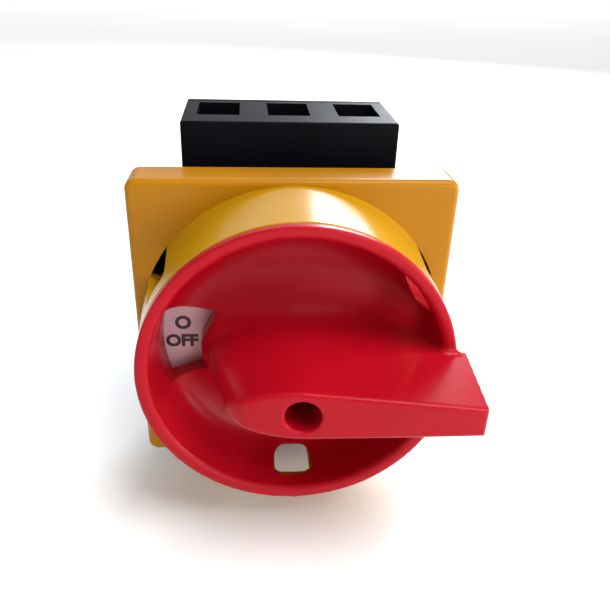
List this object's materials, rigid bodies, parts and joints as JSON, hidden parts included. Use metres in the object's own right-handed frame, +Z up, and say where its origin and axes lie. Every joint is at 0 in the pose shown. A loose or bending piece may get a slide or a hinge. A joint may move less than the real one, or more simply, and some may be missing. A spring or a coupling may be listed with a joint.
{
  "type": "rotary isolator switch",
  "caption": "Panel-mounted rotary isolator with a red lever handle in a padlockable yellow collar, square front plate and a black three-pole terminal block behind.",
  "frame": {"origin": "on the spindle axis, in the plane where the front plate's back meets the panel", "axes": "+X to the operator's right, +Y into the panel along the spindle, +Z up"},
  "size_m": [0.064, 0.0716, 0.078],
  "materials": {
    "yellow_plastic": "moulded, semi-gloss",
    "red_plastic": "moulded, semi-gloss",
    "black_plastic": "moulded, fine matt grain",
    "grey_plastic": "moulded, matt",
    "white_legend": "smooth",
    "rubber": "matt",
    "steel": "zinc plated",
    "spring_steel": "bright",
    "copper": "rolled copper",
    "silver": "contact silver"
  },
  "bodies": {
    "housing": {"front_plate": "yellow_plastic", "padlock_collar": "yellow_plastic", "panel_gasket": "rubber", "legend_plate": "white_legend", "fixing_nut": "black_plastic", "mechanism_housing": "black_plastic", "bearing_plate": "black_plastic", "terminal_block": "black_plastic", "rear_cover": "black_plastic", "assembly_screws": "steel", "line_clamps": "steel", "load_clamps": "steel", "terminal_screws": "steel", "line_contacts": "copper", "load_contacts": "copper", "fixed_tips": "silver", "upper_detent_spring": "spring_steel", "lower_detent_spring": "spring_steel"},
    "handle": {"handle": "red_plastic", "handle_screw": "steel", "handle_washer": "spring_steel", "spindle": "steel", "spindle_seal": "rubber", "detent_cam": "grey_plastic", "drive_cam": "grey_plastic"},
    "carrier": {"contact_carrier": "grey_plastic", "moving_bridges": "copper", "moving_tips": "silver", "contact_springs": "spring_steel"}
  },
  "joints": [
    {"name": "handle_turn", "type": "hinge", "parent": "housing", "child": "handle", "pos_m": [0, 0, 0], "axis": [0, 1, 0], "range_deg": [0, 90], "deforming": ["upper_detent_spring", "lower_detent_spring"]},
    {"name": "carrier_slide", "type": "slide", "parent": "housing", "child": "carrier", "axis": [1, 0, 0], "range_m": [0, 0.00283]}
  ],
  "couplings": [
    {"joint": "carrier_slide", "follows": "handle_turn", "m_per_rad": 0.0018006}
  ]
}
